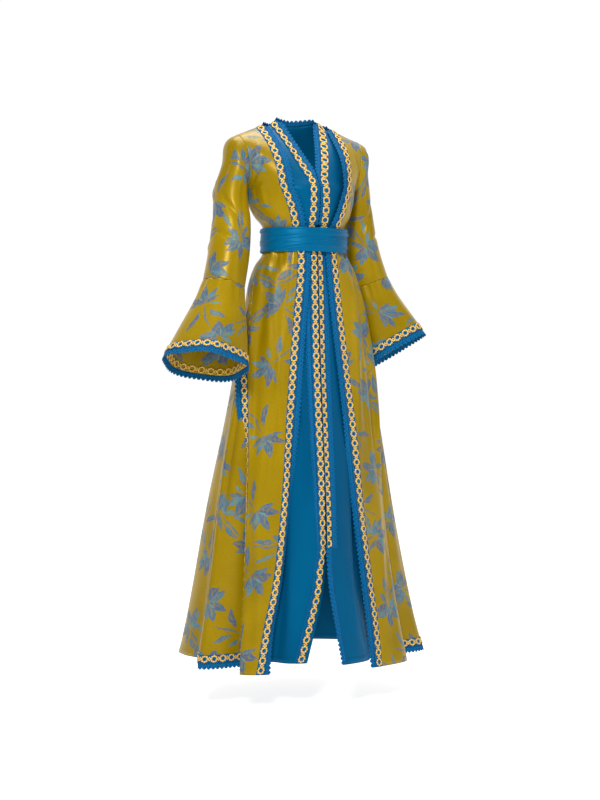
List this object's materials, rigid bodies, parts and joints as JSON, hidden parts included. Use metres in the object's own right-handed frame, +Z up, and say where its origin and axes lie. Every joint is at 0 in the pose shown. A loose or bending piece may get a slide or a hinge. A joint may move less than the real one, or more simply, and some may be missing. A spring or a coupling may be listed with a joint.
{
  "type": "moroccan kaftan with under-dress and sash",
  "caption": "Worn Moroccan kaftan set: open mustard floral robe with bell sleeves over a long teal dress, lace-trimmed, with a wound sash.",
  "frame": {"origin": "between the tops of the shoulders, inside the neck opening, where the wearer's shoulders hold the garment up", "axes": "+Z up, the wearer faces -Y, the wearer's left is +X"},
  "size_m": [0.838, 0.5148, 1.4897],
  "materials": {
    "robe_satin": "satin",
    "dress_satin": "satin",
    "sash_satin": "satin",
    "gold_braid": "satin",
    "blue_lace": "matte"
  },
  "bodies": {
    "root": {"robe_back_right": "robe_satin", "robe_back_left": "robe_satin", "dress_back_right": "dress_satin", "dress_back_left": "dress_satin", "robe_neck_braid": "gold_braid", "robe_neck_lace": "blue_lace", "dress_neck_braid": "gold_braid", "dress_neck_lace": "blue_lace", "robe_front_right": "robe_satin", "robe_front_braid_right": "gold_braid", "robe_front_lace_right": "blue_lace", "robe_slit_braid_right": "gold_braid", "robe_slit_lace_right": "blue_lace", "robe_godet_right": "robe_satin", "robe_hem_braid_right": "gold_braid", "robe_hem_lace_right": "blue_lace", "sleeve_right": "robe_satin", "flounce_right": "robe_satin", "cuff_braid_right": "gold_braid", "cuff_lace_right": "blue_lace", "dress_front_right": "dress_satin", "dress_braid_right": "gold_braid", "dress_lace_right": "blue_lace", "dress_skirt_lace_right": "blue_lace", "robe_front_left": "robe_satin", "robe_front_braid_left": "gold_braid", "robe_front_lace_left": "blue_lace", "robe_godet_left": "robe_satin", "robe_hem_braid_left": "gold_braid", "robe_hem_lace_left": "blue_lace", "sleeve_left": "robe_satin", "flounce_left": "robe_satin", "cuff_braid_left": "gold_braid", "cuff_lace_left": "blue_lace", "dress_front_left": "dress_satin", "dress_braid_left": "gold_braid", "dress_lace_left": "blue_lace", "dress_skirt_lace_left": "blue_lace", "sash_inner": "sash_satin", "sash_outer": "sash_satin"}
  },
  "joints": []
}
